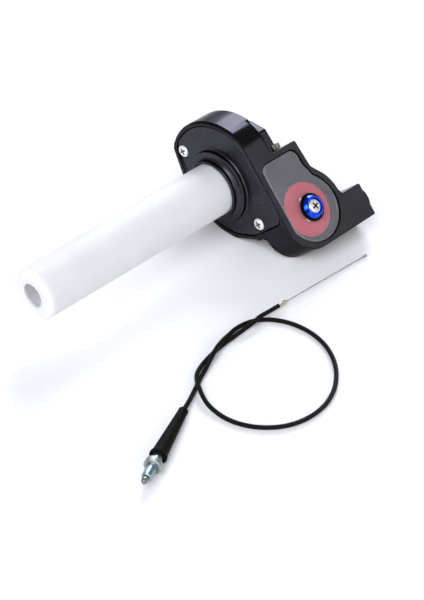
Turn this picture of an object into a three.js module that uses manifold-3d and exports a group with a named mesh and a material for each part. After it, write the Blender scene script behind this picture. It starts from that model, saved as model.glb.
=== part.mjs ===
// Quick-action twist throttle for a 22 mm handlebar, with a windowed cable housing and a loose cable.
// Row frame, millimetres: +X runs along the handlebar towards its middle, +Z is up and -Y is the window
// side. The origin is on the twist axis, in the plane of the housing's outer face. The housing leans
// back by 45 degrees and lies on the lower left of its drum and on the long lower edge of its arm.
// Inside the leaning group the axes are: x along the bar, y up the face of the window, z out of it.
import * as THREE from "three";
import { mergeVertices } from "three/addons/utils/BufferGeometryUtils.js";
import Module from "manifold-3d";

const wasm = await Module();
wasm.setup();

// ---- Driving dimensions -----------------------------------------------------------------------
const LEAN_DEG = 45;
const FLOOR = -25;
const GAP = 0.3;
const OVERSHOOT = 1; // how far a cutting tool runs past the face it opens
const AXIS_R = 0.001; // a turned profile's closing radius on its own axis

const TUBE_LENGTH = 122;
const TUBE_INNER_END = 12.2;
const TUBE_R_FREE = 12.7;
const TUBE_R_ROOT = 13.2;
const TUBE_BORE_R = 11.3;
const TUBE_END_WALL = 2.5;
const TUBE_END_HOLE_R = 5.8;
const TUBE_END_ROUND = 1.5;

const DRUM_R = 33;
const DRUM_DEPTH = 15;
const DRUM_CHAMFER = 1;
const DRUM_LOW_Y = -32.8;
const DRUM_BLEND = { fromDeg: 50, r: 20 };
const DRUM_BACK_STEP = { x: 13, inset: 1.4, aboveZ: 25.3 };
const FACE_Z = 30;
const ARM_BACK_Z = 12;
const BACK_WALL = 2;
const COVER_THICK = 2.4;
const COVER_INSET = 0.3;
const COVER_RIM = 2.6;
const COVER_FLAT_Z = 28.3;
const COVER_LOW_Y = -29.3;
const COVER_CORNER_R = 4.6;
const COVER_LOW_BEND_R = 18;
const COLLAR_PROUD = 5.6;
const COLLAR_R_TIP = 14.9;
const COLLAR_R_BASE = 17.6;
const COLLAR_FOOT_R = 18.2;
const COLLAR_FOOT_PROUD = 2;
const COLLAR_BORE_R = 13.7;
const COLLAR_FOOT = 0.5;
const COVER_SCREWS = [
  ["upper", 22.6, -12.7],
  ["lower", -25.1, 11.9],
];
const COVER_SCREW_HEAD_R = 3.1;
const COVER_SCREW_HEAD_H = 1.2;
const COVER_SCREW_R = 1.4;
const COVER_SCREW_LENGTH = 7.5;
const COVER_SCREW_SINK = 1;

const SPOOL_X = 8;
const SPOOL_WIDTH = 6.4;
const SPOOL_R = 19.4;
const SPOOL_LAND = 1.2;
const SPOOL_GROOVE_R = 17.8;
const SPOOL_GROOVE_HALF = 0.8;
const SPOOL_ROOM_R = 20.2;
const BALL_SEAT = { r: 2.3, y: 7.6, z: 15.6, depth: 4.6 };
const SPOOL_HOLES = { r: 1.4, onR: 16, atDeg: [150, 180, 210, 240] };
const THRUST_WASHER_R = 17;
const THRUST_WASHER_BORE_R = TUBE_R_ROOT + 0.4;
const OUTER_THRUST_WASHER_X = [3.3, 4.4];
const INNER_THRUST_WASHER_X = [11.6, 12.6];

const PULLEY_X = 19.3;
const PULLEY_Y = -29.9;
const PULLEY_R = 13.6;
const PULLEY_GROOVE_R = 11.4;
const PULLEY_GROOVE_HALF = 1;
const PULLEY_BORE_R = 4.3;
const PULLEY_Z0 = 15.9;
const PULLEY_Z1 = 26.6;
const PULLEY_EDGE = 0.4;
const CABLE_Z = 18.6;
const ROOM_FLOOR_Z = 14.6;
const BUSH_POST_R = 4.4;

const WINDOW_R = 16.7;
const WINDOW_LEFT_X = 3.7;
const WINDOW_RIGHT_X = 27.4;
const WINDOW_TOP_Y = -1.4;
const WINDOW_SHOULDER_Y = -9.6;
const WINDOW_CORNER = 4;
const WINDOW_LEDGE = 1.7;
const LENS_THICK = 1.8;
const LENS_SINK = 0.2;
const LENS_BEVEL = 0.6;
const GASKET_ROOM = 0.7;

const PLATE_LEFT_X = 0;
const PLATE_RIGHT_X = 30;
const PLATE_TOP_Y = 1.8;
const PLATE_ARC_R = 20;
const ARM_END_X = 52.8;
const ARM_TOP_Y = -32;
const ARM_BOTTOM_Y = -49;
const ARM_CORNER_R = 15.5;
const ARM_FILLET = { x: 0.3, y: -32.5, r: 4 };
const BOSS = { r: 7.5, y: -40, z: 21, proud: 2.4 };
const OUTLET_Y = -41.2;
const OUTLET_R = 3;
const ADJUSTER_PORT_R = 3.4;
const ADJUSTER_PORT_DEPTH = 9;

const SHANK_R = 2.3;
const PULLEY_SCREW_HEAD_R = 3.4;
const PULLEY_SCREW_HEAD_H = 1.4;
const PULLEY_SCREW_TURN_DEG = 20;
const SHANK_FOOT_Z = 7.5;
const SHANK_HOLE_Z = 5;
const NUT_ACROSS = 7;
const NUT_Z = [8.4, ARM_BACK_Z - GAP];
const NUT_SEAT_R = 6;
// Heights of the washers above the window face: [low, high].
const LENS_WASHER = { above: [-0.1, 0.15], r: 5.8, lugR: 7.6, lugHalf: 1.1, lugsAtDeg: [122, 218] };
const SEAL = { above: [0.25, 0.7], r: 7 };
const CUP = { above: [0.8, 3.2], r: 5.9, rimR: 4.6, recessR: 4, recessDepth: 1.4 };

const BAR_R = 11.3;
const CLAMP_X1 = 31;
const CLAMP_BOLT_X = 23;
const CLAMP_BOLT_Y = 15.6;
const CLAMP_BOLT_R = 2.2;
const CLAMP_HEAD_R = 3.9;
const CLAMP_HEAD_H = 4;
const CLAMP_SEAT_Z = -6.5;
const CLAMP_ARCH_R = 17.6;
const SADDLE_SPLIT_Z = 0.4;
const SADDLE_HALF = 20;

const LEDGE_SCREW = { x: 24.5, z: 21.5, headR: 2.2, headH: 2.6, r: 1.2, length: 1.8, socket: 1.9 };

const SHEATH_R = 1.05;
const WIRE_R = 0.3;
const WIRE_BORE_R = WIRE_R + 0.2;
const SHEATH_END_AT = 12.6;
const FERRULE_LENGTH = 5.3;
const PULL_TRAVEL = 12;
const BOOT_LENGTH = 33.2;
const BOOT_BORE_R = 2.6;

// ---- Solids -----------------------------------------------------------------------------------
function solid(geometry) {
  const bare = geometry.index ? geometry.toNonIndexed() : geometry.clone();
  bare.deleteAttribute("normal");
  bare.deleteAttribute("uv");
  const merged = mergeVertices(bare, 1e-5);
  const triVerts = Uint32Array.from(merged.index.array);
  const vertProperties = Float32Array.from(merged.attributes.position.array);
  const body = new wasm.Manifold(new wasm.Mesh({ numProp: 3, vertProperties, triVerts }));
  if (body.volume() > 0) return body;
  const swap = [0, 1, -1];
  const flipped = triVerts.map((_, i) => triVerts[i + swap[i % 3]]);
  return new wasm.Manifold(new wasm.Mesh({ numProp: 3, vertProperties, triVerts: flipped }));
}

function join(first, ...others) {
  return others.reduce((whole, part) => whole.add(part), first);
}

function cut(first, ...others) {
  return others.reduce((whole, part) => whole.subtract(part), first);
}

// Merges slivers smaller than the model's accuracy, and gives each facet its own normal.
function geometryOf(body) {
  const accuracy = 0.004;
  const mesh = body.simplify(accuracy).getMesh();
  const geometry = new THREE.BufferGeometry();
  geometry.setAttribute("position", new THREE.BufferAttribute(Float32Array.from(mesh.vertProperties), 3));
  geometry.setIndex(new THREE.BufferAttribute(Uint32Array.from(mesh.triVerts), 1));
  const facets = geometry.toNonIndexed();
  facets.computeVertexNormals();
  return facets;
}

// A turned piece: the profile is a list of [place along the axis, radius] that closes on itself.
function turned(profile, sides = 32) {
  const points = profile.map(([along, radius]) => new THREE.Vector2(radius, along));
  points.push(points[0].clone());
  return new THREE.LatheGeometry(points, sides);
}

const turnedX = (profile, sides) => solid(turned(profile, sides).rotateZ(-Math.PI / 2));
const turnedZ = (profile, sides) => solid(turned(profile, sides).rotateX(Math.PI / 2));

function ring(x0, x1, inner, outer, sides = 28) {
  return turnedX([[x0, inner], [x0, outer], [x1, outer], [x1, inner]], sides);
}

function rod(radius, from, to, sides) {
  return new THREE.CylinderGeometry(radius, radius, to - from, sides).translate(0, (from + to) / 2, 0);
}

const rodX = (radius, from, to, y = 0, z = 0, sides = 24) =>
  solid(rod(radius, from, to, sides).rotateZ(-Math.PI / 2).translate(0, y, z));
const rodY = (radius, from, to, x, z, sides = 24) => solid(rod(radius, from, to, sides).translate(x, 0, z));
const rodZ = (radius, from, to, x = 0, y = 0, sides = 24) =>
  solid(rod(radius, from, to, sides).rotateX(Math.PI / 2).translate(x, y, 0));

function block(x0, x1, y0, y1, z0, z1) {
  const box = new THREE.BoxGeometry(x1 - x0, y1 - y0, z1 - z0);
  return solid(box.translate((x0 + x1) / 2, (y0 + y1) / 2, (z0 + z1) / 2));
}

// An outline of corners [u, v, radius], each rounded by its radius.
function outline(corners) {
  const shape = new THREE.Shape();
  const count = corners.length;
  const place = (i) => new THREE.Vector2(...corners[(i + count) % count].slice(0, 2));
  corners.forEach(([u, v, radius = 0], i) => {
    const corner = new THREE.Vector2(u, v);
    const before = place(i - 1).sub(corner).normalize();
    const after = place(i + 1).sub(corner).normalize();
    const half = Math.acos(THREE.MathUtils.clamp(before.dot(after), -1, 1)) / 2;
    const reach = radius / Math.tan(half);
    const enter = corner.clone().addScaledVector(before, reach);
    if (i === 0) shape.moveTo(enter.x, enter.y);
    else shape.lineTo(enter.x, enter.y);
    if (radius === 0) return;
    const leave = corner.clone().addScaledVector(after, reach);
    const middle = before.clone().add(after).normalize().multiplyScalar(radius / Math.sin(half)).add(corner);
    const start = Math.atan2(enter.y - middle.y, enter.x - middle.x);
    const end = Math.atan2(leave.y - middle.y, leave.x - middle.x);
    shape.absarc(middle.x, middle.y, radius, start, end, before.cross(after) > 0);
  });
  shape.closePath();
  return shape;
}

// Points of an arc, for outlines that follow a circle between two angles in degrees.
function arcCorners(u, v, radius, fromDeg, toDeg, steps) {
  return Array.from({ length: steps + 1 }, (_, i) => {
    const angle = THREE.MathUtils.degToRad(fromDeg + ((toDeg - fromDeg) * i) / steps);
    return [u + radius * Math.cos(angle), v + radius * Math.sin(angle)];
  });
}

function slab(shape, depth) {
  return new THREE.ExtrudeGeometry(shape, { depth, bevelEnabled: false, curveSegments: 5 });
}

// slabZ: an outline in (x, y) drawn out along z. slabX: an outline in (y, z) drawn out along x.
const slabZ = (shape, z0, z1) => solid(slab(shape, z1 - z0).translate(0, 0, z0));
function slabX(shape, x0, x1) {
  const turn = new THREE.Matrix4().set(0, 0, 1, x0, 1, 0, 0, 0, 0, 1, 0, 0, 0, 0, 0, 1);
  return solid(slab(shape, x1 - x0).applyMatrix4(turn));
}

function hexPrism(acrossFlats, z0, z1) {
  const reach = acrossFlats / Math.sqrt(3);
  return slabZ(outline(arcCorners(0, 0, reach, 30, 330, 5)), z0, z1);
}

// ---- Materials --------------------------------------------------------------------------------
const finish = (color, roughness, metalness, more = {}) =>
  new THREE.MeshStandardMaterial({ color, roughness, metalness, ...more });
const nylon = finish(0xeeecf0, 0.45, 0);
const blackAlloy = finish(0x16161a, 0.35, 0.7);
const acrylic = finish(0x9a98a0, 0.08, 0, { transparent: true, opacity: 0.3 });
const redAlloy = finish(0xb32a38, 0.4, 0.6);
const blueAlloy = finish(0x1230c8, 0.25, 0.85);
const steel = finish(0xc8c8c6, 0.28, 1);
const zinc = finish(0x9fb4bf, 0.35, 0.9);
const nickel = finish(0xb9ad92, 0.3, 1);
const rubber = finish(0x131312, 0.7, 0);
const sheathing = finish(0x111110, 0.5, 0);
const wireSteel = finish(0x77777a, 0.4, 1);
const acetal = finish(0xd8d5cc, 0.5, 0);

const throttle = new THREE.Group();
const leaning = new THREE.Group();
leaning.rotation.x = THREE.MathUtils.degToRad(LEAN_DEG);
throttle.add(leaning);

function place(name, body, material, group = leaning) {
  const mesh = new THREE.Mesh(geometryOf(body), material);
  mesh.name = name;
  group.add(mesh);
}

// ---- Twist tube and its cable spool -----------------------------------------------------------
function throttleTube() {
  const free = -TUBE_LENGTH;
  const eased = TUBE_END_ROUND * (1 - Math.SQRT1_2);
  return turnedX([
    [free, TUBE_END_HOLE_R],
    [free, TUBE_R_FREE - TUBE_END_ROUND],
    [free + eased, TUBE_R_FREE - eased],
    [free + TUBE_END_ROUND, TUBE_R_FREE],
    [0, TUBE_R_ROOT],
    [TUBE_INNER_END, TUBE_R_ROOT],
    [TUBE_INNER_END, TUBE_BORE_R],
    [free + TUBE_END_WALL, TUBE_BORE_R],
    [free + TUBE_END_WALL, TUBE_END_HOLE_R],
  ]);
}

function cableSpool() {
  const x0 = SPOOL_X - SPOOL_WIDTH / 2;
  const x1 = SPOOL_X + SPOOL_WIDTH / 2;
  const boreR = TUBE_R_ROOT + GAP;
  const body = turnedX([
    [x0, boreR],
    [x0, SPOOL_R],
    [x0 + SPOOL_LAND, SPOOL_R],
    [SPOOL_X - SPOOL_GROOVE_HALF, SPOOL_GROOVE_R],
    [SPOOL_X + SPOOL_GROOVE_HALF, SPOOL_GROOVE_R],
    [x1 - SPOOL_LAND, SPOOL_R],
    [x1, SPOOL_R],
    [x1, boreR],
  ]);
  const { r, y, z, depth } = BALL_SEAT;
  const ballSeat = rodX(r, x1 - depth, x1 + OVERSHOOT, y, z, 16);
  const holes = SPOOL_HOLES.atDeg.map((degrees) => {
    const angle = THREE.MathUtils.degToRad(degrees);
    const holeY = SPOOL_HOLES.onR * Math.cos(angle);
    const holeZ = SPOOL_HOLES.onR * Math.sin(angle);
    return rodX(SPOOL_HOLES.r, 0, DRUM_DEPTH, holeY, holeZ, 12);
  });
  return cut(body, ballSeat, ...holes);
}

const thrustWasher = ([x0, x1]) => ring(x0, x1, THRUST_WASHER_BORE_R, THRUST_WASHER_R);

// ---- Housing ----------------------------------------------------------------------------------
// Drum outline in (y, z): round above, cut flat behind and along the lower left, where it lies on the
// ground, and running down into the arm in front.
const DRUM_CORNERS = [
  [DRUM_LOW_Y, FACE_Z],
  [DRUM_LOW_Y, 9, 20],
  [-26.4, -8.96, 12],
  [-19.4, -15.96, 14],
  [-10, -21.2, 12],
  [9, -22.8, 20],
  [26, -18.2, 5],
  ...arcCorners(0, 0, DRUM_R, -25, DRUM_BLEND.fromDeg, 13),
  blendCorner(DRUM_R, FACE_Z),
];

// The corner through which a circle about the axis runs along its tangent into a flat front.
function blendCorner(circleR, flatZ) {
  const angle = THREE.MathUtils.degToRad(DRUM_BLEND.fromDeg);
  const leaveY = circleR * Math.cos(angle);
  const leaveZ = circleR * Math.sin(angle);
  return [leaveY - (flatZ - leaveZ) * Math.tan(angle), flatZ, DRUM_BLEND.r];
}

// Moves every side of an outline inwards by the same amount.
function shrink(corners, inset) {
  const count = corners.length;
  return corners.map(([u, v, radius = 0], i) => {
    const [u0, v0] = corners[(i + count - 1) % count];
    const [u1, v1] = corners[(i + 1) % count];
    const into = new THREE.Vector2(v0 - v, u - u0).normalize();
    const out = new THREE.Vector2(v - v1, u1 - u).normalize();
    const share = inset / (1 + into.dot(out));
    const move = into.add(out).multiplyScalar(share);
    return [u + move.x, v + move.y, Math.max(radius - inset, 0)];
  });
}

// The cover follows the drum inside its rim, with a straight side under the window face.
function coverCorners(clearance) {
  const inset = COVER_RIM - clearance;
  const flatZ = COVER_FLAT_Z + clearance;
  const low = COVER_LOW_Y - clearance;
  const round = shrink(DRUM_CORNERS, inset).slice(2, -2);
  const lower = [[low, flatZ, COVER_CORNER_R], [low, 5, COVER_LOW_BEND_R]];
  return [...lower, ...round, blendCorner(DRUM_R - inset, flatZ)];
}

// The chamfer runs round the drum's outer edge, above and behind only.
function drum() {
  const wide = 2 * DRUM_R;
  const body = slabX(outline(DRUM_CORNERS), 0, DRUM_DEPTH);
  const insideEdge = turnedX([
    [-OVERSHOOT, AXIS_R],
    [-OVERSHOOT, DRUM_R - DRUM_CHAMFER - OVERSHOOT],
    [DRUM_CHAMFER, DRUM_R + OVERSHOOT],
    [DRUM_CHAMFER, AXIS_R],
  ], 60);
  const outsideEdge = cut(block(-OVERSHOOT, DRUM_CHAMFER, -wide, wide, -wide, wide), insideEdge);
  const upperSide = block(-OVERSHOOT, DRUM_CHAMFER, -10, wide, -wide, FACE_Z - 1);
  return cut(body, outsideEdge.intersect(upperSide), backStep());
}

// A shallow step round the back edge, beside the window plate.
function backStep() {
  const { x, inset, aboveZ } = DRUM_BACK_STEP;
  const wide = 2 * DRUM_R;
  const kept = slabX(outline(shrink(DRUM_CORNERS, inset)), x - OVERSHOOT, DRUM_DEPTH + 2 * OVERSHOOT);
  return cut(block(x, DRUM_DEPTH + OVERSHOOT, PLATE_TOP_Y + 1, wide, aboveZ, wide), kept);
}

// Arm and window plate outline in (x, y).
function plateOutline() {
  return outline([
    [PLATE_LEFT_X, PLATE_TOP_Y],
    [PLATE_LEFT_X, ARM_BOTTOM_Y, ARM_CORNER_R],
    [ARM_END_X, ARM_BOTTOM_Y, 0.8],
    [ARM_END_X, ARM_TOP_Y, 0.8],
    [40.6, ARM_TOP_Y, 1.6],
    ...arcCorners(PULLEY_X, PULLEY_Y, PLATE_ARC_R, 2, 44, 8),
    [PLATE_RIGHT_X + 1, -12.6, 1.5],
    [PLATE_RIGHT_X, PLATE_TOP_Y, 0.8],
  ]);
}

// Window outline in (x, y), shrunk by a margin: round about the pulley, and square-shouldered above.
function windowOutline(margin) {
  const left = WINDOW_LEFT_X + margin;
  const right = WINDOW_RIGHT_X - margin;
  const top = WINDOW_TOP_Y - margin;
  const corner = WINDOW_CORNER - margin / 2;
  return outline([
    [left, top, corner],
    ...arcCorners(PULLEY_X, PULLEY_Y, WINDOW_R - margin, 201 + margin, 410, 18),
    [right, WINDOW_SHOULDER_Y, 3],
    [right, top, corner],
  ]);
}

// The cast fillet in the hollow between the arm's back and the drum's lower side.
function armFillet() {
  const { x, y, r } = ARM_FILLET;
  const shape = outline([
    [y + 1.5, ARM_BACK_Z + 1],
    [y - r - 1.5, ARM_BACK_Z + 1],
    [y - r - 1.5, ARM_BACK_Z],
    [y, ARM_BACK_Z, r],
    [y + 0.3, ARM_BACK_Z - r - 1],
    [y + 1.5, ARM_BACK_Z - r - 1],
  ]);
  return slabX(shape, x, DRUM_DEPTH);
}

function outletBoss() {
  const root = 40;
  const tip = ARM_END_X + BOSS.proud;
  return turnedX([
    [root, AXIS_R],
    [root, BOSS.r],
    [tip - 0.6, BOSS.r],
    [tip, BOSS.r - 0.8],
    [tip, AXIS_R],
  ], 40).translate(0, BOSS.y, BOSS.z);
}

function saddle() {
  const split = SADDLE_SPLIT_Z;
  const shape = outline([
    [-SADDLE_HALF, split],
    [SADDLE_HALF, split],
    [SADDLE_HALF, 6.5, 2],
    [13, 13.5, 2],
    [2, 14, 1],
    [-SADDLE_HALF, 14],
  ]);
  return slabX(shape, DRUM_DEPTH - OVERSHOOT, CLAMP_X1);
}

const clampPair = (hole) => [hole(CLAMP_BOLT_Y), hole(-CLAMP_BOLT_Y)];

function housing() {
  const plate = slabZ(plateOutline(), ARM_BACK_Z, FACE_Z);
  const blank = join(drum(), plate, armFillet(), outletBoss(), saddle());

  const lensSeatZ = FACE_Z - LENS_THICK - GASKET_ROOM;
  const coverSeat = slabX(outline(coverCorners(GAP)), -OVERSHOOT, COVER_THICK + COVER_INSET + GAP);
  const spoolRoom = rodX(SPOOL_ROOM_R, 1, DRUM_DEPTH - BACK_WALL, 0, 0, 44);
  const barHole = rodX(BAR_R, 0, CLAMP_X1 + OVERSHOOT, 0, 0, 36);
  const lensSeat = slabZ(windowOutline(-GAP), lensSeatZ, FACE_Z + OVERSHOOT);
  const pulleyRoom = slabZ(windowOutline(WINDOW_LEDGE), ROOM_FLOOR_Z, FACE_Z);
  const portEnd = ARM_END_X + BOSS.proud + OVERSHOOT;
  const cablePort = rodX(OUTLET_R, PULLEY_X, portEnd, OUTLET_Y, CABLE_Z, 16);
  const adjusterPort = rodX(ADJUSTER_PORT_R, ARM_END_X - ADJUSTER_PORT_DEPTH, portEnd, OUTLET_Y, CABLE_Z, 16);
  const screwHole = rodZ(SHANK_R + GAP, SHANK_HOLE_Z, FACE_Z, PULLEY_X, PULLEY_Y, 16);
  const nutSeat = rodZ(NUT_SEAT_R, ARM_BACK_Z - 3, ARM_BACK_Z + 0.01, PULLEY_X, PULLEY_Y, 16);
  const ledgeTap = rodY(LEDGE_SCREW.r + GAP, -0.4, 3, LEDGE_SCREW.x, LEDGE_SCREW.z, 16);
  const coverTaps = COVER_SCREWS.map(([, y, z]) => rodX(COVER_SCREW_R + GAP, 1, 10, y, z, 16));
  const clampTaps = clampPair((y) => rodZ(CLAMP_BOLT_R + GAP, -OVERSHOOT, 7, CLAMP_BOLT_X, y, 14));
  const hollow = cut(blank, coverSeat, spoolRoom, barHole, lensSeat, pulleyRoom, cablePort, adjusterPort,
    screwHole, nutSeat, ledgeTap, ...coverTaps, ...clampTaps);

  const postTop = PULLEY_Z0 - GAP;
  const bushPost = cut(rodZ(BUSH_POST_R, ROOM_FLOOR_Z - 1, postTop, PULLEY_X, PULLEY_Y, 16), screwHole);
  const ground = block(-20, 80, -80, 80, FLOOR - 20, FLOOR).rotate([-LEAN_DEG, 0, 0]);
  return cut(join(hollow, bushPost), ground);
}

function coverCollar() {
  const foot = COVER_INSET + COLLAR_FOOT;
  const flareSteps = 4;
  const tip = -COLLAR_PROUD;
  const flare = Array.from({ length: flareSteps + 1 }, (_, i) => {
    const angle = (Math.PI / 2) * (i / flareSteps);
    const x = tip + 1.4 + (COLLAR_PROUD - COLLAR_FOOT_PROUD - 1.6) * Math.sin(angle);
    return [x, COLLAR_R_TIP + (COLLAR_R_BASE - COLLAR_R_TIP) * (1 - Math.cos(angle))];
  });
  return turnedX([
    [foot, COLLAR_BORE_R],
    [tip, COLLAR_BORE_R],
    [tip, COLLAR_R_TIP - 0.3],
    [tip + 0.4, COLLAR_R_TIP],
    ...flare,
    [-COLLAR_FOOT_PROUD, COLLAR_FOOT_R],
    [foot, COLLAR_FOOT_R],
  ], 40);
}

function frontCover() {
  const face = COVER_INSET;
  const plate = slabX(outline(coverCorners(0)), face, face + COVER_THICK);
  const bore = rodX(COLLAR_BORE_R, -2 * COLLAR_PROUD, 2 * COLLAR_PROUD, 0, 0, 40);
  const seatR = COVER_SCREW_HEAD_R + GAP;
  const seats = COVER_SCREWS.map(([, y, z]) => rodX(seatR, -OVERSHOOT, face + COVER_SCREW_SINK, y, z, 20));
  const holes = COVER_SCREWS.map(([, y, z]) => rodX(COVER_SCREW_R + 0.5, -OVERSHOOT, 5, y, z, 16));
  return cut(join(plate, coverCollar()), bore, ...seats, ...holes);
}

// ---- Fasteners --------------------------------------------------------------------------------
// A pan-head cross-recess screw along +z of its own frame: head above z = 0, shank below.
function panScrew(headR, headH, shankR, shankL) {
  const recessZ = headH * 0.45;
  const head = turnedZ([
    [0, AXIS_R],
    [0, headR],
    [recessZ, headR],
    [headH * 0.85, headR * 0.8],
    [headH, headR * 0.5],
    [headH, AXIS_R],
  ], 20);
  const shank = rodZ(shankR, -shankL, 0.2, 0, 0, 14);
  const long = headR * 0.575;
  const short = headR * 0.12;
  const top = headH + OVERSHOOT;
  const slotAlongX = block(-long, long, -short, short, recessZ, top);
  const slotAlongY = block(-short, short, -long, long, recessZ, top);
  return cut(join(head, shank), slotAlongX, slotAlongY);
}

function coverScrew(y, z) {
  return panScrew(COVER_SCREW_HEAD_R, COVER_SCREW_HEAD_H, COVER_SCREW_R, COVER_SCREW_LENGTH)
    .rotate([0, -90, 0])
    .translate(COVER_INSET + COVER_SCREW_SINK - GAP, y, z);
}

// A socket-head screw along +z of its own frame: head above z = 0, shank below.
function capScrew(headR, headH, shankR, shankL, socketAcross) {
  const edge = 0.4;
  const head = turnedZ([
    [0, AXIS_R],
    [0, headR],
    [headH - edge, headR],
    [headH, headR - edge],
    [headH, AXIS_R],
  ], 20);
  const shank = rodZ(shankR, -shankL, 0.2, 0, 0, 20);
  return cut(join(head, shank), hexPrism(socketAcross, headH * 0.4, headH + OVERSHOOT));
}

function ledgeScrew() {
  const { x, z, headR, headH, r, length, socket } = LEDGE_SCREW;
  return capScrew(headR, headH, r, length, socket).rotate([-90, 0, 0]).translate(x, PLATE_TOP_Y + GAP, z);
}

// ---- Pulley stack -----------------------------------------------------------------------------
const stackZ = (profile, sides = 24) => turnedZ(profile, sides).translate(PULLEY_X, PULLEY_Y, 0);
const washerZ = (z0, z1, outer, inner = SHANK_R + GAP) =>
  stackZ([[z0, inner], [z0, outer], [z1, outer], [z1, inner]]);
const stackWasher = ({ above: [low, high], r }) => washerZ(FACE_Z + low, FACE_Z + high, r);

// A flat washer with two short lugs.
function lensWasher() {
  const { above: [low, high], lugR, lugHalf, lugsAtDeg } = LENS_WASHER;
  const lugs = lugsAtDeg.map((deg) =>
    block(SHANK_R + 1, lugR, -lugHalf, lugHalf, FACE_Z + low, FACE_Z + high)
      .rotate([0, 0, deg])
      .translate(PULLEY_X, PULLEY_Y, 0));
  return join(stackWasher(LENS_WASHER), ...lugs);
}

function guidePulley() {
  return stackZ([
    [PULLEY_Z0, PULLEY_BORE_R],
    [PULLEY_Z0, PULLEY_R],
    [PULLEY_Z0 + 2, PULLEY_R],
    [CABLE_Z - PULLEY_GROOVE_HALF, PULLEY_GROOVE_R],
    [CABLE_Z + PULLEY_GROOVE_HALF, PULLEY_GROOVE_R],
    [CABLE_Z + 2.9, PULLEY_R],
    [PULLEY_Z1 - PULLEY_EDGE, PULLEY_R],
    [PULLEY_Z1, PULLEY_R - PULLEY_EDGE],
    [PULLEY_Z1, PULLEY_BORE_R],
  ], 40);
}

function lens() {
  const z1 = FACE_Z - LENS_SINK;
  const z0 = z1 - LENS_THICK;
  const body = slabZ(windowOutline(0), z0, z1 - 0.5);
  const bevelled = slabZ(windowOutline(LENS_BEVEL), z1 - LENS_BEVEL, z1);
  const hole = rodZ(SHANK_R + GAP, z0 - OVERSHOOT, z1 + OVERSHOOT, PULLEY_X, PULLEY_Y, 16);
  return cut(join(body, bevelled), hole);
}

function gasket() {
  const z0 = FACE_Z - LENS_THICK - GASKET_ROOM + 0.15;
  const z1 = FACE_Z - LENS_THICK - LENS_SINK - 0.25;
  const opening = slabZ(windowOutline(WINDOW_LEDGE), z0 - OVERSHOOT, z1 + OVERSHOOT);
  return cut(slabZ(windowOutline(GAP), z0, z1), opening);
}

function cupWasher() {
  const bottom = FACE_Z + CUP.above[0];
  const top = FACE_Z + CUP.above[1];
  const recessZ = top - CUP.recessDepth;
  return stackZ([
    [bottom, SHANK_R + GAP],
    [bottom, CUP.r - 0.3],
    [bottom + 0.4, CUP.r],
    [top - 1.3, CUP.r],
    [top - 0.2, CUP.rimR + 0.2],
    [top, CUP.rimR],
    [top, CUP.recessR],
    [recessZ, CUP.recessR - 0.2],
    [recessZ, SHANK_R + GAP],
  ], 32);
}

function pulleyBush() {
  return washerZ(PULLEY_Z0 - 0.05, PULLEY_Z1 + 0.9, PULLEY_BORE_R - GAP);
}

function pulleyScrew() {
  const seatZ = FACE_Z + CUP.above[1] - CUP.recessDepth + 0.1;
  return panScrew(PULLEY_SCREW_HEAD_R, PULLEY_SCREW_HEAD_H, SHANK_R, seatZ - SHANK_FOOT_Z)
    .rotate([0, 0, PULLEY_SCREW_TURN_DEG])
    .translate(PULLEY_X, PULLEY_Y, seatZ);
}

function pulleyNut() {
  const [z0, z1] = NUT_Z;
  const thread = rodZ(SHANK_R + GAP, z0 - OVERSHOOT, z1 + OVERSHOOT, 0, 0, 20);
  return cut(hexPrism(NUT_ACROSS, z0, z1), thread).translate(PULLEY_X, PULLEY_Y, 0);
}

// ---- Handlebar clamp --------------------------------------------------------------------------
function barClamp() {
  const half = SADDLE_HALF;
  const seat = CLAMP_SEAT_Z;
  const arch = arcCorners(0, 0, CLAMP_ARCH_R, 232, 308, 12);
  const shape = outline([[-half, -GAP], [-half, seat, 1.5], ...arch, [half, seat, 1.5], [half, -GAP]]);
  const body = slabX(shape, DRUM_DEPTH + GAP, CLAMP_X1);
  const holes = clampPair((y) => rodZ(CLAMP_BOLT_R + GAP, -half, 5, CLAMP_BOLT_X, y, 14));
  const seats = clampPair((y) => rodZ(CLAMP_HEAD_R + 0.5, -half, seat, CLAMP_BOLT_X, y, 16));
  return cut(body, rodX(BAR_R, 0, CLAMP_X1 + OVERSHOOT, 0, 0, 36), ...holes, ...seats);
}

function clampBolt(y) {
  return capScrew(CLAMP_HEAD_R, CLAMP_HEAD_H, CLAMP_BOLT_R - 0.1, 12.5, 3.6)
    .rotate([180, 0, 0])
    .translate(CLAMP_BOLT_X, y, CLAMP_SEAT_Z - GAP);
}

// ---- Assembly of the leaning group ------------------------------------------------------------
place("throttle_tube", throttleTube(), nylon);
place("cable_spool", cableSpool(), acetal);
place("outer_thrust_washer", thrustWasher(OUTER_THRUST_WASHER_X), acetal);
place("inner_thrust_washer", thrustWasher(INNER_THRUST_WASHER_X), acetal);
place("main_housing", housing(), blackAlloy);
place("front_cover", frontCover(), blackAlloy);
for (const [side, y, z] of COVER_SCREWS) {
  place(`cover_screw_${side}`, coverScrew(y, z), steel);
}
place("window_lens", lens(), acrylic);
place("window_gasket", gasket(), rubber);
place("guide_pulley", guidePulley(), redAlloy);
place("pulley_bush", pulleyBush(), nickel);
place("lens_washer", lensWasher(), steel);
place("cup_washer_seal", stackWasher(SEAL), rubber);
place("cup_washer", cupWasher(), blueAlloy);
place("pulley_screw", pulleyScrew(), steel);
place("pulley_nut", pulleyNut(), steel);
place("bar_clamp", barClamp(), blackAlloy);
place("clamp_bolt_upper", clampBolt(CLAMP_BOLT_Y), steel);
place("clamp_bolt_lower", clampBolt(-CLAMP_BOLT_Y), steel);
place("ledge_screw", ledgeScrew(), steel);

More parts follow.
